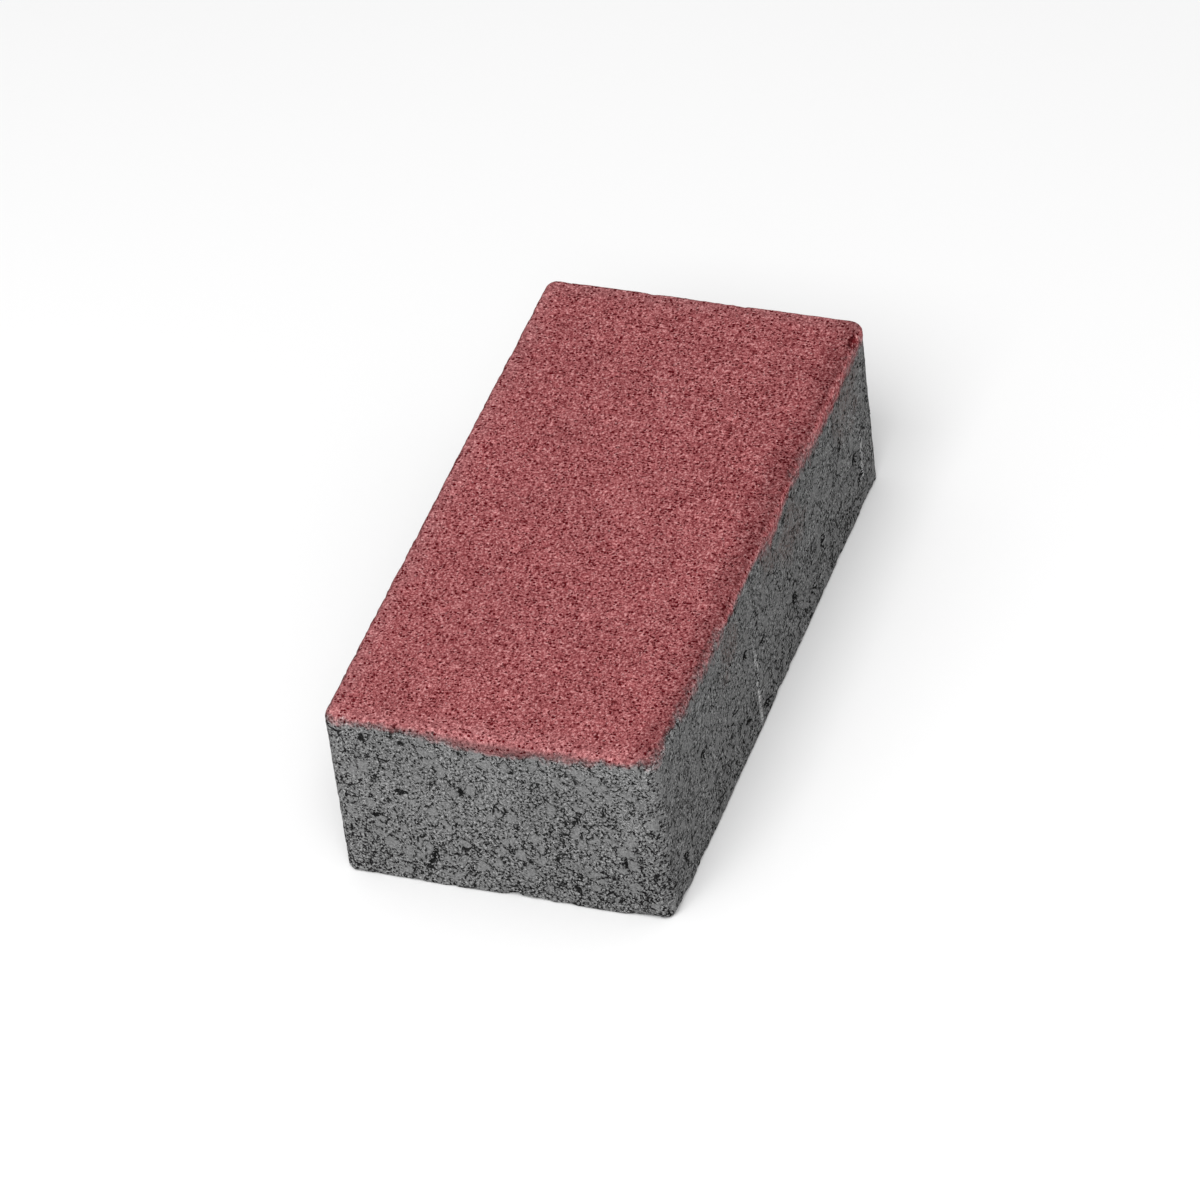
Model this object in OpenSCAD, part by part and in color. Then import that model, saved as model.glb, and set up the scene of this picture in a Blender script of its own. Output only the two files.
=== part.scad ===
// Rectangular concrete paving stone, pressed in one mould from two concretes:
// a grey backing and a thin red facing that makes the wearing surface.
// The long side runs along X. The origin is the middle of the bed face, and +Z is up.

/* [Block] */
// Length of the block, along X
block_length = 200; // [120:1:300]
// Width of the block, along Y
block_width = 100; // [80:1:200]
// Height of the block, from its bed face to its wearing surface
block_height = 60; // [40:1:120]

/* [Facing] */
// Thickness of the red facing
facing_thickness = 5; // [4:0.5:12]

/* [Edges] */
// Radius of the four upright corners
corner_radius = 4; // [3.25:0.25:10]
// Radius of the worn arris round the wearing surface
arris_radius = 2.5; // [0.5:0.25:3]
// Radius of the edge round the bed face
bed_edge_radius = 1; // [0.5:0.25:3]

/* [Hidden] */
$fn = 64;
backing_height = block_height - facing_thickness;

// Section of a course from its middle out to a rounded upper rim, standing on the X axis.
module rim_section(reach, height, rim_radius) {
    square([reach, height - rim_radius]);
    square([reach - rim_radius, height]);
    translate([reach, height])
        translate([-rim_radius, -rim_radius])
            intersection() {
                circle(r = rim_radius);
                square(rim_radius);
            }
}

// Straight stretch of a course, from the corners at its +X end inwards past the middle.
module half_stretch(length, width, height, rim_radius) {
    translate([length / 2, 0])
        translate([-corner_radius, 0])
            rotate([90, 0, -90])
                linear_extrude(height = length / 2) {
                    rim_section(width / 2, height, rim_radius);
                    mirror([1, 0])
                        rim_section(width / 2, height, rim_radius);
                }
}

// One layer of the block, with upright corners and a rounded upper rim.
module course(height, rim_radius) {
    for (end = [0, 180]) {
        rotate(end)
            half_stretch(block_length, block_width, height, rim_radius);
        rotate(end + 90)
            half_stretch(block_width, block_length, height, rim_radius);
    }
    for (side_x = [-1, 1], side_y = [-1, 1])
        translate([side_x * block_length / 2, side_y * block_width / 2])
            translate([-side_x * corner_radius, -side_y * corner_radius])
                rotate_extrude()
                    rim_section(corner_radius, height, rim_radius);
}

// The backing is a course turned over, so that its rounded rim is the bed edge.
module concrete_backing() {
    color([0.44, 0.44, 0.44])
        translate([0, 0, backing_height])
            mirror([0, 0, 1])
                course(backing_height, bed_edge_radius);
}

// The facing lies on the backing and carries the worn arris.
module red_facing() {
    color([0.63, 0.36, 0.37])
        translate([0, 0, backing_height])
            course(facing_thickness, arris_radius);
}

concrete_backing();
red_facing();
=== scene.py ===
"""Looks of a two-layer concrete paving stone: a grey backing under a red facing.

The stone's outline is laid out as one profile, which runs from the flat of the wearing face over the arris,
down the side and round the bed edge, carried round the rounded rectangle of the plan. The two pieces share
that profile and meet at a wavy join. Relief is pressed inwards from the outline, so the stone never grows.
Lengths are in millimetres up to the point where a mesh is made.

Names of places: the short side is the one at -X and the long side the one at -Y, which are the two that the
camera sees, with the near corner between them. The far rim is the wearing face's at +Y.
"""

import math
from types import SimpleNamespace

import bpy
import numpy as np
from mathutils import Matrix, Vector


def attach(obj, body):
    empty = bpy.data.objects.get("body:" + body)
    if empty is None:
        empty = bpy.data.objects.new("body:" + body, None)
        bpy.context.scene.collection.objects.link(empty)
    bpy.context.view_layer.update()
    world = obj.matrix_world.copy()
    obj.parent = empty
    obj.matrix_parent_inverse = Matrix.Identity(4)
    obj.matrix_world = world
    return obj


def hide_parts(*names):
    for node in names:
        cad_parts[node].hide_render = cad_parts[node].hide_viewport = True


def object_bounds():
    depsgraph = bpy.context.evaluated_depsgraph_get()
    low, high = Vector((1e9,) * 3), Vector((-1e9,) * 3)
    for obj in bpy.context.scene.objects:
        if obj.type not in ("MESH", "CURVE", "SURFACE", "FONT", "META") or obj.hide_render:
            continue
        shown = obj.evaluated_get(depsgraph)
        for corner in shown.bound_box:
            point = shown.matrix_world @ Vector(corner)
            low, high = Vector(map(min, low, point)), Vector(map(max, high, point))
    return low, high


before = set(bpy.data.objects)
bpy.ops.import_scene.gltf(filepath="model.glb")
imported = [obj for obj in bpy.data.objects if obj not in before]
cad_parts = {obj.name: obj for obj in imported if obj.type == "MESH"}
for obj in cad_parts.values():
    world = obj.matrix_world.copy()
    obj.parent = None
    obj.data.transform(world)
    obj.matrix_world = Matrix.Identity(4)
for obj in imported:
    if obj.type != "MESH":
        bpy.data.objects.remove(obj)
CAD_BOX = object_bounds()

MM = 0.001
LOW, HIGH = (np.array(corner) / MM for corner in CAD_BOX)
LENGTH, WIDTH, HEIGHT = HIGH - LOW
CORNER_RADIUS = 4.0
ARRIS_RADIUS = 2.5
BED_EDGE_RADIUS = 1.0

# Cells along the two straight sides and across each corner. Each is a multiple of the coarsest step.
CELLS_X, CELLS_Y, CELLS_CORNER = 320, 152, 8
FACING_RINGS = 14
BACKING_RINGS = 76
BED_STEP = 2
HIDDEN_STEP = 4

# Seeds of the random fields. A field of several layers takes the next few numbers as well.
SEEDS = {
    "join wave": 11, "join ripple": 15,
    "facing warp": 21, "facing pits": 27, "facing grain": 31, "facing swell": 35,
    "small pit warp": 51, "small pits": 53, "large pit warp": 57, "large pits": 59,
    "drag": 61, "backing grain": 65, "backing swell": 69,
    "marks": 73, "crumble": 77, "blotches": 81, "rims": 85, "streak breaks": 87, "streak wander": 89,
    "stains": 91, "pores": 95, "join softness": 97, "rubbed_and_painted_light": 101,
}


# ---------------------------------------------------------------- noise

HASH_STEPS = np.array([73856093, 19349663, 83492791], np.uint64)
SEED_STEP = np.uint64(2654435761)
HASH_ROUNDS = ((30, 0xBF58476D1CE4E5B9), (27, 0x94D049BB133111EB))
LAST_SHIFT = np.uint64(31)
BITS = 21
# Layers even each other out, so their mean is stretched back to about -1 to 1.
LAYER_STRETCH = 1.6


def cell_random(cells, seed):
    """Three repeatable random numbers from 0 to 1 for each whole-number cell."""
    mixed = (cells.astype(np.int64).astype(np.uint64) * HASH_STEPS).sum(-1) + np.uint64(seed) * SEED_STEP
    for shift, factor in HASH_ROUNDS:
        mixed = (mixed ^ (mixed >> np.uint64(shift))) * np.uint64(factor)
    mixed ^= mixed >> LAST_SHIFT
    mask = np.uint64(2**BITS - 1)
    parts = [(mixed >> np.uint64(BITS * k)) & mask for k in range(3)]
    return np.stack(parts, -1).astype(float) / 2**BITS


def smooth(low, high, value):
    """0 up to low, 1 from high on and an S-curve between them. With low above high it falls from 1 to 0."""
    t = np.clip((value - low) / (high - low), 0, 1)
    return t * t * (3 - 2 * t)


def value_noise(points, size, seed):
    """Three fields of smooth noise from -1 to 1, with lumps about as wide as size."""
    scaled = points / size
    cells = np.floor(scaled)
    t = scaled - cells
    t = t * t * t * (t * (t * 6 - 15) + 10)
    total = 0
    for corner in np.ndindex(2, 2, 2):
        weight = np.prod(np.where(corner, t, 1 - t), -1)
        total = total + weight[:, None] * cell_random(cells + corner, seed)
    return total * 2 - 1


def layered_noise(points, size, seed, layers=3):
    """Noise of one size with finer and weaker layers over it."""
    total, reach = 0, 0
    for k in range(layers):
        total = total + value_noise(points, size / 2**k, seed + k)[:, 0] / 2**k
        reach += 1 / 2**k
    return total / reach * LAYER_STRETCH


def neighbour_cells():
    return (np.array(step) - 1 for step in np.ndindex(3, 3, 3))


def pits(points, size, radii, chance, seed):
    """How deep each point lies in scattered round pits, from 0 on the face to 1 at the middle of a pit."""
    cells = np.floor(points / size)
    depth = np.zeros(len(points))
    for step in neighbour_cells():
        cell = cells + step
        gap = np.linalg.norm(points - (cell + cell_random(cell, seed)) * size, axis=1)
        luck = cell_random(cell, seed + 1)
        radius = radii[0] + (radii[1] - radii[0]) * luck[:, 1] ** 2
        here = np.clip(1 - (gap / radius) ** 2, 0, 1)
        depth = np.maximum(depth, np.where(luck[:, 0] < chance, here, 0))
    return depth


def warped(points, size, reach, seed):
    return points + reach * value_noise(points, size, seed)


# ---------------------------------------------------------------- outline

STRAIGHT = np.array([LENGTH, WIDTH]) / 2 - CORNER_RADIUS
ARRIS_RUN = ARRIS_RADIUS * math.pi / 2
SIDE_RUN = HEIGHT - ARRIS_RADIUS - BED_EDGE_RADIUS
PROFILE_RUN = ARRIS_RUN + SIDE_RUN + BED_EDGE_RADIUS * math.pi / 2
NEAR_CORNER = np.array([-LENGTH / 2, -WIDTH / 2, 0])
TINY = 1e-9

# Depth of the join below the wearing face, at even steps along each side, in the order of the outline.
JOIN_DEPTHS = {
    "-Y": (0.3, 1.1, 1.7, 2.2, 1.7, 6.4, 2.2, 5.0, 6.0, 4.6),
    "+X": (4.1, 5.6, 4.6, 3.8),
    "+Y": (3.9, 5.8, 4.4, 6.2, 5.0, 3.6, 4.8, 2.4),
    "-X": (1.2, 1.1, 1.9, 4.0, 4.4, 2.3, 2.0, 1.5),
}
JOIN_WAVE, JOIN_WAVE_SIZE = 0.45, 7.0
JOIN_RIPPLE, JOIN_RIPPLE_SIZE = 0.4, 2.6
JOIN_RISE_AT_CORNER = 1.3
SHALLOWEST_JOIN = 0.12


def grid_lines(cells, straight, step):
    """Places of a grid's lines along one axis: on the straight, and the share of the way across a corner."""
    line = np.arange(0, cells + 2 * CELLS_CORNER + 1, step) - CELLS_CORNER
    along = np.clip(line / cells, 0, 1) * 2 * straight - straight
    share = (np.maximum(line - cells, 0) + np.minimum(line, 0)) / CELLS_CORNER
    return along, share


def plan_grid(step):
    """Grid points of a rounded rectangle, as the point on the straights and the offset for a corner radius
    of 1. Square cells in the corners turn into cells of a quarter disc."""
    along_x, share_x = grid_lines(CELLS_X, STRAIGHT[0], step)
    along_y, share_y = grid_lines(CELLS_Y, STRAIGHT[1], step)
    base = np.stack(np.meshgrid(along_x, along_y, indexing="ij"), -1)
    u, v = np.meshgrid(share_x, share_y, indexing="ij")
    reach = np.maximum(abs(u), abs(v))
    ratio = np.minimum(abs(u), abs(v)) / np.maximum(reach, TINY)
    angle = math.pi / 4 * ratio
    steep = abs(v) > abs(u)
    offset_x = reach * np.where(steep, np.sin(angle), np.cos(angle)) * np.sign(u)
    offset_y = reach * np.where(steep, np.cos(angle), np.sin(angle)) * np.sign(v)
    return base, np.stack([offset_x, offset_y], -1)


def border(grid):
    """The values round the edge of a grid, anticlockwise from its lowest corner."""
    return np.concatenate([grid[:-1, 0], grid[-1, :-1], grid[:0:-1, -1], grid[0, :0:-1]])


RIM_BASE, RIM_NORMAL = (border(part) for part in plan_grid(1))
COLUMNS = len(RIM_BASE)
RIM_POINTS = RIM_BASE + CORNER_RADIUS * RIM_NORMAL
RIM_STEPS = np.linalg.norm(np.roll(RIM_POINTS, -1, 0) - RIM_POINTS, axis=1)
RIM_RUN = np.concatenate([[0], np.cumsum(RIM_STEPS)])


def profile(run):
    """Inset, height and tilt of the outline, at a distance along the profile from the wearing face's edge."""
    arris = np.clip(run / ARRIS_RADIUS, 0, math.pi / 2)
    bed = np.clip((run - ARRIS_RUN - SIDE_RUN) / BED_EDGE_RADIUS, 0, math.pi / 2)
    side = np.clip(run - ARRIS_RUN, 0, SIDE_RUN)
    inset = ARRIS_RADIUS * (1 - np.sin(arris)) + BED_EDGE_RADIUS * (1 - np.cos(bed))
    height = HEIGHT - ARRIS_RADIUS * (1 - np.cos(arris)) - side - BED_EDGE_RADIUS * np.sin(bed)
    return inset, height, arris + bed


def run_at_depth(depth):
    """Distance along the profile at which it lies this deep below the wearing face."""
    on_arris = ARRIS_RADIUS * np.arccos(np.clip(1 - depth / ARRIS_RADIUS, -1, 1))
    return np.where(depth < ARRIS_RADIUS, on_arris, ARRIS_RUN + depth - ARRIS_RADIUS)


def ring(run):
    """Points and outward normals of one ring, at a distance along the profile that may differ by column."""
    inset, height, tilt = (np.broadcast_to(part, COLUMNS) for part in profile(run))
    flat = RIM_BASE + (CORNER_RADIUS - inset)[:, None] * RIM_NORMAL
    normal = np.column_stack([np.sin(tilt)[:, None] * RIM_NORMAL, np.cos(tilt)])
    return np.column_stack([flat, height]), normal


def join_runs():
    """Distance along the profile of the join between the two concretes, for each column."""
    lengths = (STRAIGHT[0] * 2, STRAIGHT[1] * 2) * 2
    corner = CORNER_RADIUS * math.pi / 2
    places, depths, start = [], [], corner / 2
    for length, depth in zip(lengths, JOIN_DEPTHS.values()):
        places += [start + length * (k + 0.5) / len(depth) for k in range(len(depth))]
        depths += depth
        start += length + corner
    total = RIM_RUN[-1]
    places = np.array([places[-1] - total] + places + [places[0] + total])
    depths = np.array([depths[-1]] + depths + [depths[0]])
    at = RIM_RUN[:-1]
    k = np.clip(np.searchsorted(places, at) - 1, 0, len(places) - 2)
    t = smooth(0, 1, (at - places[k]) / (places[k + 1] - places[k]))
    depth = depths[k] + (depths[k + 1] - depths[k]) * t
    on_rim = np.column_stack([RIM_POINTS, np.zeros(COLUMNS)])
    wave = layered_noise(on_rim, JOIN_WAVE_SIZE, SEEDS["join wave"])
    ripple = layered_noise(on_rim, JOIN_RIPPLE_SIZE, SEEDS["join ripple"], layers=2)
    depth += JOIN_WAVE * wave + JOIN_RIPPLE * ripple
    depth -= JOIN_RISE_AT_CORNER * smooth(9, 3, np.linalg.norm(on_rim - NEAR_CORNER, axis=1))
    return run_at_depth(np.maximum(depth, SHALLOWEST_JOIN))


JOIN = join_runs()


# ---------------------------------------------------------------- relief

# How deep the relief is pressed in: everywhere, and by each kind of unevenness.
FACING_DEPTHS = {"everywhere": 0.16, "swell": 0.09, "grain": 0.07, "pits": 0.25}
BACKING_DEPTHS = {"everywhere": 0.24, "swell": 0.12, "grain": 0.08, "drag": 0.05, "pits": 0.42}
CREVICE_DEPTH = 0.9
CRUMBLE_DEPTH = 0.3
WORN_CORNER_DEPTH = 0.8

# Chips out of the upper edges, near the two corners at +X.
CHIPS = (
    {"at": (LENGTH / 2 - 10.2, -WIDTH / 2 + 0.5, HEIGHT - 0.6), "radius": 2.9, "depth": 1.3},
    {"at": (LENGTH / 2 - 1, WIDTH / 2 - 7, HEIGHT), "radius": 1.6, "depth": 0.6},
)
# Crevices in the short and the long side: place along the side, height, half-length, half-width, and turn
# from level in degrees. The short side is measured along Y and the long one along X.
SHORT_SIDE_CREVICES = (
    (28.3, 34.4, 2.5, 1.1, 10), (10.3, 37.9, 2.2, 1.0, 85), (9.0, 52.9, 1.4, 1.1, 30),
    (37.2, 24.2, 2.3, 0.9, 175), (21.0, 11.5, 4.8, 0.8, 108), (14.0, 13.0, 1.7, 1.1, 20),
    (-23.9, 33.6, 2.6, 0.9, 115), (-37.4, 20.4, 3.0, 0.9, 88), (-21.4, 7.0, 2.3, 1.2, 60),
    (-1.7, 0.8, 2.0, 1.3, 0), (-47.0, 41.0, 1.5, 1.1, 40),
)
LONG_SIDE_CREVICES = (
    (-8.5, 27.5, 3.6, 1.4, 165), (-63.2, 32.0, 2.8, 1.6, 150), (-23.0, 34.4, 2.6, 1.5, 150),
    (-26.0, 11.0, 3.6, 1.3, 150), (19.0, 19.5, 2.8, 1.6, 60), (46.8, 18.0, 2.8, 1.7, 80),
    (80.0, 21.5, 3.2, 1.8, 110), (83.0, 12.5, 2.6, 1.6, 40), (-84.5, 12.0, 3.0, 1.4, 150),
    (-11.0, 5.0, 3.4, 1.2, 165), (35.0, 8.5, 2.8, 1.4, 30),
)
# Smooth faces of larger grains on the short side: along Y, height, radius.
SMOOTH_GRAINS = (
    (7.6, 40.4, 1.7), (-8.5, 29.0, 2.0), (2.2, 28.3, 1.4), (-16.0, 37.0, 1.6), (-29.6, 37.2, 2.4),
    (7.6, 5.8, 1.6), (19.0, 21.1, 1.4), (3.6, 37.6, 1.1),
)
# Pale streaks down the long side: along X, lowest and highest point, half-width.
STREAKS = ((-16.5, 3.0, 32.0, 0.8), (86.0, 10.0, 31.0, 0.7))
# Brownish stains on the long side, where the facing mix has run down: along X, height, radius.
STAINS = ((-34.0, 48.0, 13.0), (4.0, 52.0, 10.0), (21.0, 44.0, 16.0), (78.0, 50.0, 18.0))

# How much lighter each place is than the concrete elsewhere, as a share. Below 0 it is darker. The blotches
# vary at random and the streaks are pale marks. The other entries are painted light and shade: painted shade
# over the long side, on the long rim, on the far arris and on the facing below the short rim; painted light
# over the short side, on the short rim, on the far rim and side and on the facing below the long rim; and a
# painted highlight on the backing along the long arris.
LIGHTER = {
    "blotches": 0.07, "long side": -0.11, "short side": 0.05, "streaks": 1.25,
    "long rim": -0.30, "short rim": 0.14, "far rim and side": 0.08, "far arris": -0.40,
    "facing below long rim": 0.27, "facing below short rim": -0.40, "backing on long arris": 0.25,
}
# How far the facing is paled, as a share: partly wear and partly painted light.
RUBBED_AND_PAINTED_LIGHT = {"rims": 0.12, "below short rim": 0.16}


def on_short_side(points):
    return points[:, 0] < -LENGTH / 2 + ARRIS_RADIUS


def on_long_side(points):
    return points[:, 1] < -WIDTH / 2 + ARRIS_RADIUS


def facing_relief(points):
    """Depth of the red concrete's relief, and how hollow it is from 0 to 1."""
    bent = warped(points, size=1.6, reach=0.5, seed=SEEDS["facing warp"])
    hollow = pits(bent, size=3.6, radii=(0.55, 1.1), chance=0.35, seed=SEEDS["facing pits"])
    grain = layered_noise(points, 1.5, SEEDS["facing grain"], layers=2)
    swell = layered_noise(points, 14, SEEDS["facing swell"])
    deep = FACING_DEPTHS
    depth = deep["everywhere"] + deep["swell"] * swell + deep["grain"] * grain + deep["pits"] * hollow
    return depth, hollow


def backing_relief(points, upright):
    """Depth of the grey concrete's relief, and how hollow it is from 0 to 1. Low down it has more pits, and
    upright faces have faint marks of the mould drawn down them."""
    low = smooth(HEIGHT * 0.8, 0, points[:, 2])
    bent = warped(points, size=1.5, reach=0.6, seed=SEEDS["small pit warp"])
    small = pits(bent, size=2.6, radii=(0.5, 1.1), chance=0.25 + 0.35 * low, seed=SEEDS["small pits"])
    bent = warped(points, size=2.2, reach=1.3, seed=SEEDS["large pit warp"])
    large = pits(bent, size=6.0, radii=(0.9, 1.6), chance=0.1 + 0.25 * low, seed=SEEDS["large pits"])
    hollow = np.maximum(0.7 * small, 0.75 * large)
    stretched = points * np.array([1, 1, 0.16])
    drag = layered_noise(stretched, 1.3, SEEDS["drag"], layers=2) * upright
    grain = layered_noise(points, 1.5, SEEDS["backing grain"], layers=2)
    swell = layered_noise(points, 18, SEEDS["backing swell"])
    deep = BACKING_DEPTHS
    depth = deep["everywhere"] + deep["swell"] * swell + deep["grain"] * grain + deep["drag"] * drag
    return depth + deep["pits"] * hollow, hollow


def ellipses(across, height, marks_on_side):
    """1 at the middle of the nearest of some tilted ellipses, falling to 0 at its rim."""
    found = np.zeros(len(across))
    for along, level, half_length, half_width, turn in marks_on_side:
        angle = math.radians(turn)
        x, z = across - along, height - level
        u = (x * math.cos(angle) + z * math.sin(angle)) / half_length
        v = (z * math.cos(angle) - x * math.sin(angle)) / half_width
        found = np.maximum(found, 1 - u * u - v * v)
    return found


def marks(points):
    """Depth of the named chips and crevices, how hollow they are, and the smooth grains."""
    shaped = warped(points, size=1.5, reach=0.55, seed=SEEDS["marks"])
    depth = np.zeros(len(points))
    hollow = depth.copy()
    for chip in CHIPS:
        gap = np.linalg.norm(shaped - np.array(chip["at"]), axis=1)
        here = np.clip(1 - (gap / chip["radius"]) ** 2, 0, 1)
        depth = np.maximum(depth, chip["depth"] * here)
        hollow = np.maximum(hollow, np.sqrt(here))
    short_side = on_short_side(points)
    in_short = ellipses(shaped[:, 1], shaped[:, 2], SHORT_SIDE_CREVICES) * short_side
    in_long = ellipses(shaped[:, 0], shaped[:, 2], LONG_SIDE_CREVICES) * on_long_side(points)
    crevice = np.maximum(in_short, in_long)
    depth = np.maximum(depth, CREVICE_DEPTH * np.sqrt(crevice))
    hollow = np.maximum(hollow, smooth(0.0, 0.8, crevice))
    discs = [(along, level, radius, radius, 0) for along, level, radius in SMOOTH_GRAINS]
    smooth_grain = smooth(0, 0.5, ellipses(shaped[:, 1], shaped[:, 2], discs) * short_side)
    return depth, hollow, smooth_grain


def rim_painted_light_and_shade(points, grey):
    """Painted light and painted shade on the rims of the wearing face and on the faces just below them, as a
    factor. Each share fades between two distances from the rim, or between two depths below the wearing face."""
    x, y, z = points.T
    down = HEIGHT - z
    ragged = 2.5 * value_noise(points, 4, SEEDS["rims"])[:, 0]
    from_short, from_long, from_far = x + LENGTH / 2 + ragged, y + WIDTH / 2 + ragged, WIDTH / 2 - y
    short_side, long_side, red = on_short_side(points), on_long_side(points), 1 - grey
    on_short_rim = smooth(8, 3, from_short) * smooth(-1.5, 2.5, from_short) * smooth(0.7, 0, down)
    # Painted shade below the short rim, on the long rim and on the far arris; painted light below the long
    # rim, on the short rim and on the far rim and side; a painted highlight on the backing along the long
    # arris.
    shares = (
        LIGHTER["facing below short rim"] * smooth(0.4, 2.3, down) * red * short_side,
        LIGHTER["facing below long rim"] * smooth(0, 1.6, down) * red * long_side,
        LIGHTER["backing on long arris"] * smooth(2.6, 1.2, down) * grey * long_side,
        LIGHTER["long rim"] * smooth(12, 2, from_long) * smooth(1.5, 0.2, down),
        LIGHTER["short rim"] * on_short_rim,
        LIGHTER["far rim and side"] * smooth(13, 4, from_far + ragged),
        LIGHTER["far arris"] * smooth(1.6, 0.5, from_far) * smooth(6, 2, down),
    )
    return np.prod(1 + np.array(shares), axis=0)


def tone(points, grey):
    """How light the concrete is, as a factor: blotches, painted light and shade on rims and whole sides, pale
    streaks.
    """
    x, z = points[:, 0], points[:, 2]
    long_side, short_side = on_long_side(points), on_short_side(points)
    factor = 1 + LIGHTER["blotches"] * layered_noise(points, 11, SEEDS["blotches"])
    factor *= rim_painted_light_and_shade(points, grey)
    # Painted shade over the whole long side and painted light over the whole short side.
    factor *= 1 + LIGHTER["long side"] * long_side + LIGHTER["short side"] * short_side
    stretched = points * np.array([1, 1, 0.5])
    broken = smooth(-0.9, 0.0, value_noise(stretched, 1.3, SEEDS["streak breaks"])[:, 0])
    wander = 0.5 * value_noise(points, 6, SEEDS["streak wander"])[:, 1]
    for along, low, high, half_width in STREAKS:
        across = smooth(half_width * 1.6, half_width * 0.4, abs(x - along + wander))
        up = smooth(low - 2, low + 1, z) * smooth(high + 3, high - 6, z)
        factor *= 1 + LIGHTER["streaks"] * across * up * long_side * broken
    return factor


def rubbed_and_painted_light(points):
    """How far the facing is paled, partly by wear and partly as painted light: along the wearing face's rims,
    but for the long one, and below the short one."""
    x, y, z = points.T
    ragged = 1.5 * value_noise(points, 4, SEEDS["rubbed_and_painted_light"])[:, 0]
    from_rim = np.minimum(LENGTH / 2 - abs(x), WIDTH / 2 - y) + ragged
    below = smooth(0.2, 2, HEIGHT - z) * on_short_side(points)
    return RUBBED_AND_PAINTED_LIGHT["rims"] * smooth(9, 2, from_rim) + RUBBED_AND_PAINTED_LIGHT["below short rim"] * below


def stain(points):
    """How far the long side is stained brown, from 0 to 1."""
    ragged = 6 * value_noise(points, 5, SEEDS["stains"])[:, 0]
    found = np.zeros(len(points))
    for along, level, radius in STAINS:
        gap = np.hypot(points[:, 0] - along, points[:, 2] - level) + ragged
        found = np.maximum(found, smooth(radius, radius * 0.2, gap))
    return found * on_long_side(points)


def porosity(points, smooth_grain):
    """How open the grey concrete is: more so low down, and hardly on the smooth grains."""
    low = smooth(HEIGHT * 0.85, HEIGHT * 0.1, points[:, 2])
    patches = 0.35 * layered_noise(points, 8, SEEDS["pores"], layers=2)
    return np.clip(0.35 + 0.65 * low + patches - smooth_grain, -0.6, 1.2)


def join_softness(points):
    """How gradually the two concretes run into each other: most of all on the long side."""
    mixed = smooth(-0.6, 0.6, layered_noise(points, 12, SEEDS["join softness"], layers=2))
    return 1.0 + (1.2 + 1.2 * on_long_side(points)) * mixed


def edge_nearness(points):
    """1 on the block's sharp edges, falling to 0 some way from them."""
    from_x, from_y = HIGH[0] - abs(points[:, 0]), HIGH[1] - abs(points[:, 1])
    from_z = np.minimum(points[:, 2], HEIGHT - points[:, 2])
    gaps = np.sort(np.stack([from_x, from_y, from_z], -1), axis=1)
    return smooth(3.2, 0.6, gaps[:, 1])


def edge_wear(points):
    """Depth to which the edges have crumbled, and to which the bed edge is worn below the near corner."""
    crumble = smooth(0.15, 0.8, layered_noise(points, 5.5, SEEDS["crumble"]))
    at_corner = smooth(18, 2, np.linalg.norm(points - NEAR_CORNER, axis=1))
    return (CRUMBLE_DEPTH * crumble + WORN_CORNER_DEPTH * at_corner) * edge_nearness(points)


def weathered(points, normals, beyond_join):
    """Points pressed in by the relief, and the values that the material reads at each of them."""
    upright = 1 - abs(normals[:, 2])
    grey = smooth(-0.6, 0.6, beyond_join)
    red_depth, red_hollow = facing_relief(points)
    grey_depth, grey_hollow = backing_relief(points, upright)
    mark_depth, mark_hollow, smooth_grain = marks(points)
    depth = red_depth * (1 - grey) + grey_depth * grey + mark_depth + edge_wear(points)
    hollow = red_hollow * (1 - grey) + grey_hollow * grey * (1 - smooth_grain)
    moved = points - normals * np.maximum(depth, 0)[:, None]
    values = {
        "join_mm": beyond_join / join_softness(points),
        # How hollow each place is: the material paints shade into it.
        "hollow": np.maximum(hollow, mark_hollow),
        "porous": porosity(points, smooth_grain),
        "tone": tone(points, grey),
        "stain": stain(points),
        "rubbed_and_painted_light": rubbed_and_painted_light(points),
    }
    return moved, values


# ---------------------------------------------------------------- meshes

CHART_GAP = 3.0


class Shell:
    """A closed mesh that is put together from rings and grids, with a flat chart for each stretch."""

    def __init__(self):
        self.points, self.normals, self.beyond = [], [], []
        self.faces, self.charts = [], []
        self.count = 0

    def add_points(self, points, normals, beyond):
        """Points with their outward normals and their distances beyond the join. Returns their numbers."""
        index = self.count + np.arange(len(points))
        self.points.append(points)
        self.normals.append(np.broadcast_to(normals, points.shape))
        self.beyond.append(np.broadcast_to(beyond, len(points)))
        self.count += len(points)
        return index

    def add_faces(self, corners, chart, flip=False):
        """Faces as rows of corner numbers, and each corner's place on the chart in millimetres. With flip
        they are turned over."""
        if flip:
            corners, chart = corners[:, ::-1], chart[:, ::-1]
        self.faces += corners.tolist()
        self.charts.append(chart.reshape(-1, 2))


def add_grid(shell, index, chart, flip):
    """The cells of a grid of point numbers."""
    def cells(values):
        return np.stack([values[:-1, :-1], values[1:, :-1], values[1:, 1:], values[:-1, 1:]], 2)
    shell.add_faces(cells(index).reshape(-1, 4), cells(chart).reshape(-1, 4, 2), flip)


def add_band(shell, upper, lower, chart_rows, side_charts):
    """The cells between two rings. Each side of the block has a chart of its own, laid out along the
    rings."""
    first, origin = side_charts
    after = np.roll(np.arange(COLUMNS), -1)
    corners = np.stack([upper, lower, lower[after], upper[after]], 1)
    left, right = RIM_RUN[:-1] - RIM_RUN[first], RIM_RUN[1:] - RIM_RUN[first]
    places = np.stack([
        np.column_stack([left, chart_rows[0]]),
        np.column_stack([left, chart_rows[1]]),
        np.column_stack([right, chart_rows[1][after]]),
        np.column_stack([right, chart_rows[0][after]]),
    ], 1)
    shell.add_faces(corners, places + origin[:, None, :])


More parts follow.
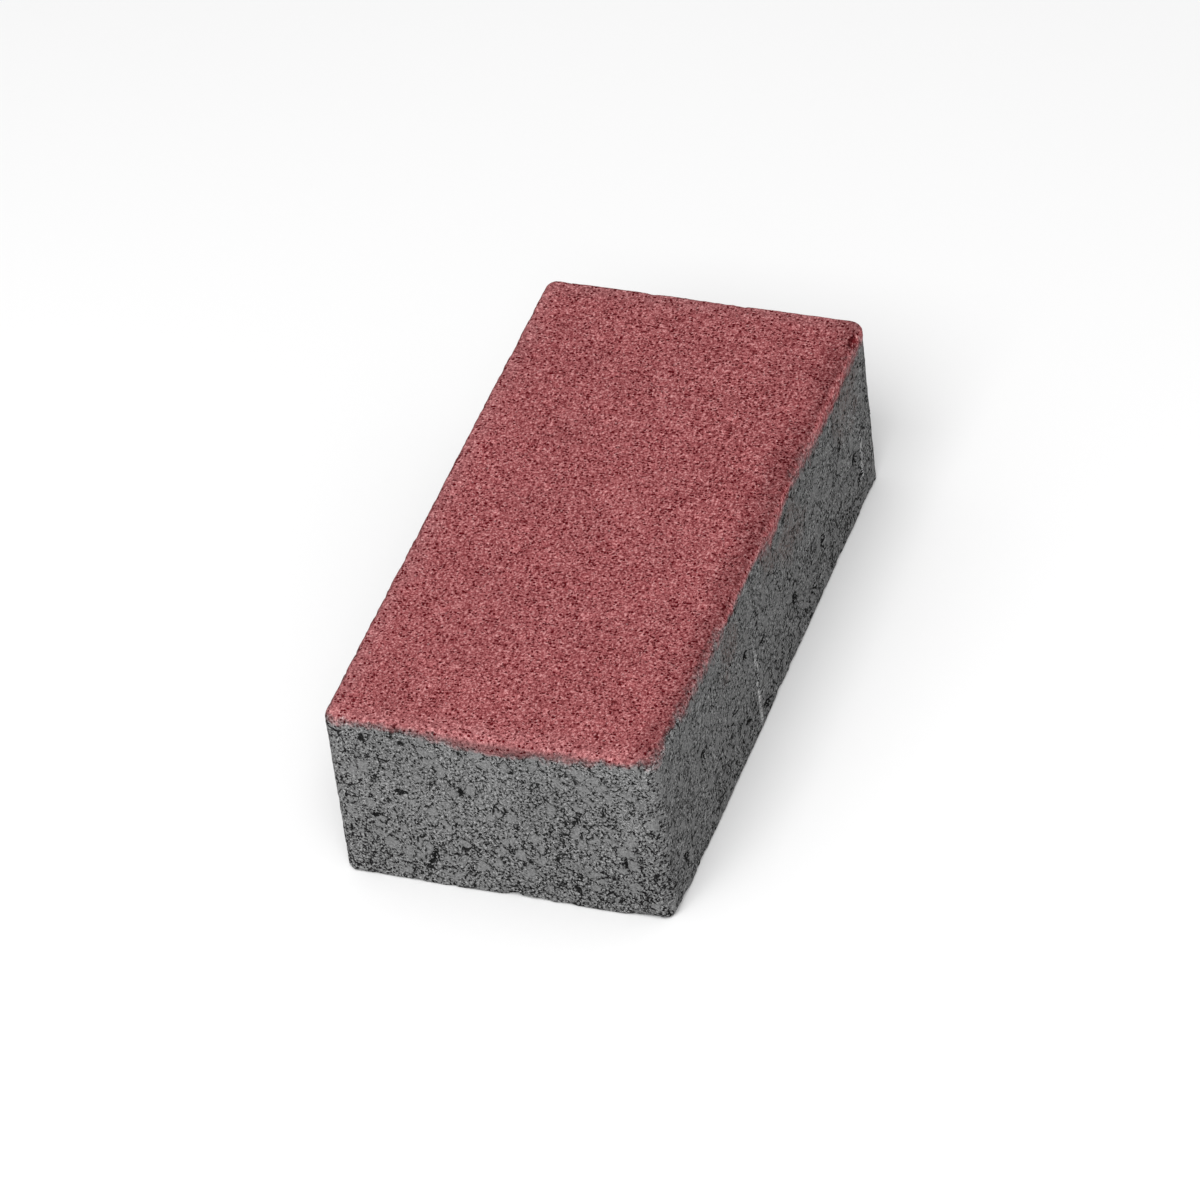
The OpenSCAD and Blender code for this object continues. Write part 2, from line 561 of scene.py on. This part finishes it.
def add_bridge(shell, fine, coarse, step, fine_chart, coarse_chart, flip):
    """Triangles between a ring and the border of a grid that has one point for every few of the ring's."""
    corners, places = [], []
    half = step // 2
    count = len(fine)
    for k, start in enumerate(range(0, count, step)):
        near, far = k, (k + 1) % len(coarse)
        for j in range(step):
            a, b = (start + j) % count, (start + j + 1) % count
            if j == half:
                corners.append((fine[a], coarse[far], coarse[near]))
                places.append((fine_chart[a], coarse_chart[far], coarse_chart[near]))
            tip = near if j < half else far
            corners.append((fine[a], fine[b], coarse[tip]))
            places.append((fine_chart[a], fine_chart[b], coarse_chart[tip]))
    shell.add_faces(np.array(corners), np.array(places), flip)


def lay_side_charts(top, row_height):
    """The first column and the origin of the side chart that each column is on. A side takes in half of the
    corner at each end. Each long side has a row to itself, and the two short sides share the row between."""
    half_corners = 2 * CELLS_CORNER
    starts = np.cumsum([0] + [CELLS_X + half_corners, CELLS_Y + half_corners] * 2)
    shelves = ((0, 0), (0, 1), (0, 2), (WIDTH + CHART_GAP, 1))
    first = np.zeros(COLUMNS, int)
    origin = np.zeros((COLUMNS, 2))
    for start, end, (across, row) in zip(starts, starts[1:], shelves):
        first[start:end] = start
        origin[start:end] = across, top + row * (row_height + CHART_GAP)
    return first, origin


def flat_grid(step, inset):
    """Grid points of the plan, with its outline set in."""
    base, offset = plan_grid(step)
    return base + (CORNER_RADIUS - inset) * offset


def raised(grid, height):
    """A flat grid's points in rows of X, Y and one height."""
    return np.column_stack([grid.reshape(-1, 2), np.full(grid[..., 0].size, height)])


def add_hidden_join(shell, rim_index, flip, chart_at):
    """The face that a piece turns to the other one: a coarse grid hung inside the join."""
    inner = flat_grid(HIDDEN_STEP, CORNER_RADIUS / 4)
    depth = np.mean([np.mean(side) for side in JOIN_DEPTHS.values()])
    index = shell.add_points(raised(inner, HEIGHT - depth), (0, 0, 0), 0).reshape(inner.shape[:2])
    lowest = inner.min((0, 1))
    chart = (inner - lowest) / HIDDEN_STEP + chart_at
    rim_chart = (RIM_POINTS - lowest) / HIDDEN_STEP + chart_at
    add_grid(shell, index, chart, flip)
    add_bridge(shell, rim_index, border(index), HIDDEN_STEP, rim_chart, border(chart), flip)


def add_side(shell, runs, side_charts, top=0.0):
    """Rings at the given distances along the profile, joined from the first to the last. Returns both of
    those. The charts start at the distance top."""
    rings = []
    for run in runs:
        points, normals = ring(run)
        rings.append(shell.add_points(points, normals, run - JOIN))
    for k in range(len(rings) - 1):
        rows = [np.broadcast_to(run - top, COLUMNS) for run in runs[k:k + 2]]
        add_band(shell, rings[k], rings[k + 1], rows, side_charts)
    return rings[0], rings[-1]


def edge_gap(points):
    """Distance from the outer faces of the block, measured level."""
    return np.minimum(LENGTH / 2 - abs(points[:, 0]), WIDTH / 2 - abs(points[:, 1]))


def nearest_join(points):
    """The join's place on the profile at the part of the outline that lies nearest."""
    close = edge_gap(points) < 3 * ARRIS_RADIUS
    found = np.full(len(points), JOIN.mean())
    gaps = np.linalg.norm(points[close, None, :2] - RIM_POINTS[None, :, :], axis=2)
    found[close] = JOIN[gaps.argmin(1)]
    return found


def facing_shell():
    shell = Shell()
    cap = flat_grid(1, ARRIS_RADIUS)
    points = raised(cap, HEIGHT)
    beyond = ARRIS_RADIUS - edge_gap(points) - nearest_join(points)
    index = shell.add_points(points, (0, 0, 1), beyond).reshape(cap.shape[:2])
    add_grid(shell, index, cap - cap.min((0, 1)) + CHART_GAP, flip=False)
    sides_at = WIDTH + 2 * CHART_GAP
    side_charts = lay_side_charts(sides_at, JOIN.max())
    runs = [JOIN * (k / FACING_RINGS) for k in range(1, FACING_RINGS + 1)]
    first, last = add_side(shell, runs, side_charts)
    add_band(shell, border(index), first, [np.zeros(COLUMNS), runs[0]], side_charts)
    hidden_at = sides_at + 3 * (JOIN.max() + 2 * CHART_GAP)
    add_hidden_join(shell, last, True, np.array([CHART_GAP, hidden_at]))
    return shell


def backing_shell():
    shell = Shell()
    side_height = PROFILE_RUN - JOIN.min()
    side_charts = lay_side_charts(CHART_GAP, side_height)
    runs = [JOIN + (PROFILE_RUN - JOIN) * (k / BACKING_RINGS) for k in range(BACKING_RINGS + 1)]
    first, last = add_side(shell, runs, side_charts, top=JOIN.min())
    bed_at = CHART_GAP + 3 * (side_height + CHART_GAP)
    bed_inset = 2 * BED_EDGE_RADIUS
    bed = flat_grid(BED_STEP, bed_inset)
    index = shell.add_points(raised(bed, 0.0), (0, 0, -1), HEIGHT).reshape(bed.shape[:2])
    to_chart = np.array([CHART_GAP, bed_at]) + bed_inset - bed.min((0, 1))
    rim_chart = RIM_BASE + (CORNER_RADIUS - BED_EDGE_RADIUS) * RIM_NORMAL + to_chart
    add_grid(shell, index, bed + to_chart, flip=True)
    add_bridge(shell, last, border(index), BED_STEP, rim_chart, border(bed + to_chart), flip=True)
    add_hidden_join(shell, first, False, np.array([LENGTH + 4 * CHART_GAP, bed_at]))
    return shell


def make_piece(name, shell, material):
    """A mesh object with the shell's relief, chart and values."""
    points, normals, beyond = (np.concatenate(part) for part in (shell.points, shell.normals, shell.beyond))
    moved, values = weathered(points, normals, beyond)
    mesh = bpy.data.meshes.new(name)
    mesh.from_pydata((moved * MM).tolist(), [], shell.faces)
    mesh.polygons.foreach_set("use_smooth", np.ones(len(mesh.polygons), bool))
    chart = np.concatenate(shell.charts)
    mesh.uv_layers.new(name="OFBake").data.foreach_set("uv", (chart / chart.max()).ravel())
    for label, value in values.items():
        mesh.attributes.new(label, "FLOAT", "POINT").data.foreach_set("value", value.astype(np.float32))
    mesh.update()
    mesh.materials.append(material)
    piece = bpy.data.objects.new(name, mesh)
    bpy.context.scene.collection.objects.link(piece)
    return piece


# ---------------------------------------------------------------- materials

# Colours of the paste from its darkest grains to its lightest, each with its place on the ramp.
RED_RAMP = (
    (0.34, (0.135, 0.016, 0.020, 1)), (0.44, (0.245, 0.054, 0.059, 1)), (0.50, (0.345, 0.096, 0.101, 1)),
    (0.56, (0.440, 0.146, 0.151, 1)), (0.66, (0.70, 0.33, 0.33, 1)),
)
GREY_RAMP = (
    (0.34, (0.062, 0.062, 0.062, 1)), (0.44, (0.130, 0.130, 0.130, 1)), (0.50, (0.186, 0.186, 0.186, 1)),
    (0.56, (0.238, 0.238, 0.238, 1)), (0.66, (0.41, 0.41, 0.41, 1)),
)
# Painted shade: the near-black colours put into pits, pores, cracks and hollows, where shade falls.
RED_PIT_SHADE = (0.105, 0.003, 0.006, 1)
GREY_PIT_SHADE = (0.003, 0.003, 0.003, 1)
RED_LIGHT = (0.70, 0.40, 0.40, 1)
GREY_LIGHT = (0.50, 0.50, 0.49, 1)
# Pale red for the rims and below the short rim: partly worn paste, partly painted light.
PALE_RED_WEAR_AND_PAINTED_LIGHT = (0.36, 0.25, 0.25, 1)
BROWN = (0.15, 0.098, 0.088, 1)

# Sizes of the grain that is too fine for the mesh, and how deep its bump is.
PASTE_SIZE = 0.75
RAGGED_SIZE = 0.8
PORE_SIZE = 0.85
PIT_SPACING = 1.0
LIGHT_GRAIN_SPACING = 1.7
LARGE_GRAIN_SPACING = 4.0
CRACK_LENGTH = 3.0
CLUMP_SIZE = 4.5
JOIN_LUMP_SIZE = 2.6
BUMP_DEPTH = 0.5
# How far the fine grain and the lumps of one concrete reach across the join, from end to end.
JOIN_REACH = {"grain": 1.2, "lumps": 2.6}
SPECULAR = 0.02


class Nodes:
    """Short calls for building a node tree. Inputs are sockets or plain values, and sizes are millimetres."""

    def __init__(self, tree):
        self.tree = tree

    def connect(self, value, socket):
        if isinstance(value, bpy.types.NodeSocket):
            self.tree.links.new(value, socket)
        else:
            socket.default_value = value

    def add(self, kind, inputs=None, **settings):
        node = self.tree.nodes.new(kind)
        for key, value in settings.items():
            setattr(node, key, value)
        for key, value in (inputs or {}).items():
            self.connect(value, node.inputs[key])
        return node

    def math(self, operation, *values):
        return self.add("ShaderNodeMath", dict(enumerate(values)), operation=operation).outputs[0]

    def plus(self, a, b):
        return self.math("ADD", a, b)

    def minus(self, a, b):
        return self.math("SUBTRACT", a, b)

    def times(self, a, b):
        return self.math("MULTIPLY", a, b)

    def times_plus(self, a, b, added):
        return self.math("MULTIPLY_ADD", a, b, added)

    def larger(self, a, b):
        return self.math("MAXIMUM", a, b)

    def value(self, name):
        return self.add("ShaderNodeAttribute", attribute_name=name).outputs["Fac"]

    def noise(self, place, size, detail=2.0, roughness=0.5):
        """Noise from 0 to 1 with lumps about as wide as size."""
        inputs = {"Vector": place, "Scale": 1 / (size * MM), "Detail": detail, "Roughness": roughness}
        return self.add("ShaderNodeTexNoise", inputs).outputs["Fac"]

    def warp(self, place, size, reach):
        """The place shifted by up to about half of reach, by noise of a size."""
        noise = self.add("ShaderNodeTexNoise", {"Vector": place, "Scale": 1 / (size * MM), "Detail": 1.0})
        inputs = {0: noise.outputs["Color"], 1: (0.5, 0.5, 0.5)}
        centred = self.add("ShaderNodeVectorMath", inputs, operation="SUBTRACT").outputs[0]
        inputs = {0: centred, 1: (reach * MM,) * 3, 2: place}
        return self.add("ShaderNodeVectorMath", inputs, operation="MULTIPLY_ADD").outputs[0]

    def cells(self, place, spacing, feature="F1"):
        """Distance from the middle of the nearest cell, and three random numbers from 0 to 1 that are the
        same all over it. The distance from a cell's edge comes without those."""
        inputs = {"Vector": place, "Scale": 1 / (spacing * MM)}
        cells = self.add("ShaderNodeTexVoronoi", inputs, feature=feature)
        luck = None
        if feature == "F1":
            luck = self.add("ShaderNodeSeparateColor", {0: cells.outputs["Color"]}).outputs
        return cells.outputs["Distance"], luck

    def ramp(self, value, stops):
        node = self.add("ShaderNodeValToRGB", {0: value})
        elements = node.color_ramp.elements
        while len(elements) < len(stops):
            elements.new(0.5)
        for element, (position, color) in zip(elements, stops):
            element.position, element.color = position, color
        return node.outputs[0]

    def remap(self, value, low, high, to_low=0.0, to_high=1.0):
        """Value taken from the range low..high to another range, smoothly and clamped."""
        inputs = {0: value, 1: low, 2: high, 3: to_low, 4: to_high}
        return self.add("ShaderNodeMapRange", inputs, interpolation_type="SMOOTHSTEP").outputs[0]

    def blend(self, factor, a, b, kind="MIX"):
        node = self.add("ShaderNodeMix", data_type="RGBA", blend_type=kind, clamp_factor=True)
        for socket, value in zip([s for s in node.inputs if s.enabled], (factor, a, b)):
            self.connect(value, socket)
        return [s for s in node.outputs if s.enabled][0]


def shared_grain(nodes):
    """The grain that both concretes have."""
    place = nodes.add("ShaderNodeTexCoord").outputs["Object"]
    paste = nodes.noise(place, PASTE_SIZE, detail=2, roughness=0.85)
    ragged = nodes.noise(place, RAGGED_SIZE, detail=1)
    shifted = nodes.warp(place, 1.2, 0.7)
    clump = nodes.minus(nodes.noise(place, CLUMP_SIZE, detail=2, roughness=0.6), 0.5)

    # The hollows pressed into the mesh, with a ragged edge that is finer than the mesh; they get painted
    # shade.
    sunk = nodes.times_plus(nodes.minus(ragged, 0.5), 2.6, nodes.value("hollow"))
    sunk = nodes.remap(sunk, 0.48, 0.62)

    # Places of the round pits between the sand grains, and light grains standing among them.
    pit_gap, pit_luck = nodes.cells(shifted, PIT_SPACING)
    light_gap, light_luck = nodes.cells(place, LIGHT_GRAIN_SPACING)
    light = nodes.times(nodes.remap(light_gap, 0.26, 0.12), nodes.remap(light_luck[0], 0.78, 0.9))
    return SimpleNamespace(
        place=place, paste=paste, ragged=ragged, shifted=shifted, clump=clump, sunk=sunk,
        pit_gap=pit_gap, pit_luck=pit_luck, light=light,
    )


def red_concrete(nodes, grain):
    """Colour of the facing, with painted shade in its pits and hollows, and how low it lies for the bump."""
    width = nodes.times_plus(grain.pit_luck[1], -0.18, grain.pit_gap)
    chance = nodes.remap(nodes.plus(grain.pit_luck[0], grain.clump), 0.56, 0.66)
    pit = nodes.times(nodes.remap(width, 0.36, 0.2), chance)

    # Every sand grain has a tone of its own, and the paste between them varies more finely.
    own_tone = nodes.times_plus(grain.pit_luck[2], 0.07, 0.015)
    color = nodes.ramp(nodes.times_plus(grain.paste, 0.9, own_tone), RED_RAMP)
    # Paler at the rims and below the short rim: partly wear, partly painted light.
    color = nodes.blend(nodes.value("rubbed_and_painted_light"), color, PALE_RED_WEAR_AND_PAINTED_LIGHT)
    # Painted shade in the pits, and below in the hollows.
    color = nodes.blend(pit, color, RED_PIT_SHADE)
    color = nodes.blend(nodes.times(grain.light, 0.45), color, RED_LIGHT)
    color = nodes.blend(nodes.times(grain.sunk, 0.85), color, RED_PIT_SHADE)
    return color, nodes.plus(nodes.times(pit, 0.5), nodes.times(grain.sunk, 0.3))


def large_grains(nodes, grain):
    """The smooth faces of the larger grains in the backing, and broken cracks round some of them."""
    bent = nodes.warp(grain.place, 2.6, 2.4)
    luck = nodes.cells(bent, LARGE_GRAIN_SPACING)[1]
    rim = nodes.cells(bent, LARGE_GRAIN_SPACING, feature="DISTANCE_TO_EDGE")[0]
    face = nodes.times(nodes.remap(luck[0], 0.6, 0.75), nodes.remap(rim, 0.06, 0.2))
    crack = nodes.times(nodes.remap(rim, 0.10, 0.045), nodes.remap(luck[1], 0.68, 0.8))
    broken = nodes.remap(nodes.noise(grain.place, CRACK_LENGTH, detail=1), 0.47, 0.55)
    return face, nodes.times(crack, broken)


def grey_concrete(nodes, grain, large_face, crack):
    """Colour of the backing, with painted shade in its pores, pits, hollows and cracks, and how low it lies
    for the bump.
    """
    porous = nodes.value("porous")
    field = nodes.noise(grain.shifted, PORE_SIZE, detail=2, roughness=0.6)
    field = nodes.minus(field, nodes.times(porous, 0.05))
    chance = nodes.plus(nodes.times_plus(porous, 0.25, grain.pit_luck[1]), nodes.times(grain.clump, 0.7))
    pit = nodes.times(nodes.remap(grain.pit_gap, 0.40, 0.24), nodes.remap(chance, 0.68, 0.78))
    pore = nodes.larger(nodes.remap(field, 0.40, 0.375), pit)
    pore = nodes.times(pore, nodes.remap(large_face, 0.2, 0.9, 1.0, 0.1))
    dark = nodes.larger(nodes.larger(pore, grain.sunk), crack)

    # The large faces vary less than the paste round them.
    strength = nodes.remap(large_face, 0.2, 0.9, 1.0, 0.45)
    color = nodes.ramp(nodes.times_plus(nodes.minus(grain.paste, 0.5), strength, 0.5), GREY_RAMP)
    color = nodes.blend(nodes.times(grain.light, 0.5), color, GREY_LIGHT)
    stained = nodes.times(nodes.value("stain"), nodes.remap(grain.ragged, 0.4, 0.62, 0.1, 0.6))
    color = nodes.blend(stained, color, BROWN)
    # Painted shade in the pores, pits, hollows and cracks.
    color = nodes.blend(nodes.times(dark, 0.95), color, GREY_PIT_SHADE)
    return color, nodes.times(dark, 0.6)


def share_of_grey(nodes, grain):
    """0 in the facing and 1 in the backing, with lumps of one reaching into the other at the join."""
    lumps = nodes.times(nodes.noise(grain.place, JOIN_LUMP_SIZE, detail=1), JOIN_REACH["lumps"])
    reach = nodes.plus(nodes.times(grain.ragged, JOIN_REACH["grain"]), lumps)
    centred = nodes.minus(reach, sum(JOIN_REACH.values()) / 2)
    return nodes.remap(nodes.plus(centred, nodes.value("join_mm")), -1.5, 1.5)


def concrete_material(name):
    """Both concretes in one material, sorted by the distance from the join, so that the two pieces run into
    each other grain by grain."""
    material = bpy.data.materials.new(name)
    material.use_nodes = True
    nodes = Nodes(material.node_tree)
    grain = shared_grain(nodes)
    large_face, crack = large_grains(nodes, grain)
    red, low_red = red_concrete(nodes, grain)
    grey, low_grey = grey_concrete(nodes, grain, large_face, crack)
    is_grey = share_of_grey(nodes, grain)
    # The tone brings in the random blotches, the pale streaks and the painted light and shade of rims and
    # sides.
    color = nodes.blend(1.0, nodes.blend(is_grey, red, grey), nodes.value("tone"), kind="MULTIPLY")

    low_red = nodes.times(low_red, nodes.minus(1.0, is_grey))
    low = nodes.plus(nodes.times(low_grey, is_grey), low_red)
    height = nodes.minus(nodes.times(grain.paste, nodes.remap(large_face, 0.2, 0.9, 1.3, 0.5)), low)
    bump = nodes.add("ShaderNodeBump", {"Strength": 1.0, "Distance": BUMP_DEPTH * MM, "Height": height})

    shader = material.node_tree.nodes["Principled BSDF"]
    nodes.connect(color, shader.inputs["Base Color"])
    nodes.connect(nodes.remap(grain.paste, 0.35, 0.65, 0.98, 0.84), shader.inputs["Roughness"])
    nodes.connect(bump.outputs[0], shader.inputs["Normal"])
    shader.inputs["Specular IOR Level"].default_value = SPECULAR
    return material


def plain_material(name, color, roughness):
    material = bpy.data.materials.new(name)
    material.use_nodes = True
    shader = material.node_tree.nodes["Principled BSDF"]
    shader.inputs["Base Color"].default_value = color
    shader.inputs["Roughness"].default_value = roughness
    return material


# ---------------------------------------------------------------- stage, lights, camera

# Places and sizes here are in metres, angles in degrees and the lens in millimetres.
FLOOR_SIZE = 30.0
FLOOR_COLOR = (0.93, 0.93, 0.93, 1)
FLOOR_ROUGHNESS = 0.9
SKY_COLOR = (1, 1, 1, 1)
SKY_STRENGTH = 0.62
AIM = Vector((-0.0048, 0.0013, 0.030))
CAMERA_AZIMUTH = 203.42
CAMERA_ELEVATION = 41.15
CAMERA_DISTANCE = 2.101
CAMERA_ROLL = -7.35
LENS = 216.6


def direction(azimuth, elevation):
    """Unit vector at an angle from +X towards +Y, and above the floor."""
    a, e = math.radians(azimuth), math.radians(elevation)
    return Vector((math.cos(a) * math.cos(e), math.sin(a) * math.cos(e), math.sin(e)))


def looking_at(place, aim, roll=0.0):
    """Matrix of a lamp or camera at a place, turned to its aim and then rolled about its own axis."""
    turn = (aim - place).to_track_quat("-Z", "Y").to_matrix().to_4x4()
    return Matrix.Translation(place) @ turn @ Matrix.Rotation(math.radians(roll), 4, "Z")


def add_camera():
    camera = bpy.data.objects.new("camera", bpy.data.cameras.new("camera"))
    camera.data.lens = LENS
    place = AIM + CAMERA_DISTANCE * direction(CAMERA_AZIMUTH, CAMERA_ELEVATION)
    camera.matrix_world = looking_at(place, AIM, CAMERA_ROLL)
    bpy.context.scene.collection.objects.link(camera)
    bpy.context.scene.camera = camera


def add_softbox(name, azimuth, elevation, distance, size, power):
    lamp = bpy.data.lights.new(name, "AREA")
    lamp.size, lamp.energy = size, power
    box = bpy.data.objects.new(name, lamp)
    box.matrix_world = looking_at(AIM + distance * direction(azimuth, elevation), AIM)
    bpy.context.scene.collection.objects.link(box)


def add_floor():
    half = FLOOR_SIZE / 2
    corners = [(-half, -half, 0), (half, -half, 0), (half, half, 0), (-half, half, 0)]
    mesh = bpy.data.meshes.new("floor")
    mesh.from_pydata(corners, [], [(0, 1, 2, 3)])
    mesh.materials.append(plain_material("floor", FLOOR_COLOR, FLOOR_ROUGHNESS))
    floor = bpy.data.objects.new("floor", mesh)
    bpy.context.scene.collection.objects.link(floor)


def add_sky():
    world = bpy.data.worlds.new("studio")
    world.use_nodes = True
    sky = world.node_tree.nodes["Background"]
    sky.inputs["Color"].default_value = SKY_COLOR
    sky.inputs["Strength"].default_value = SKY_STRENGTH
    bpy.context.scene.world = world


add_floor()
add_sky()
add_softbox("key_softbox", azimuth=185, elevation=54, distance=1.6, size=1.1, power=20)
add_camera()
bpy.context.scene.view_settings.view_transform = "Standard"

for piece_name, shell, node, slot in (
    ("facing_concrete", facing_shell(), "red_facing", "red_concrete"),
    ("backing_concrete", backing_shell(), "concrete_backing", "grey_concrete"),
):
    piece = make_piece(piece_name, shell, concrete_material(slot))
    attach(piece, "root")
    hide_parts(node)
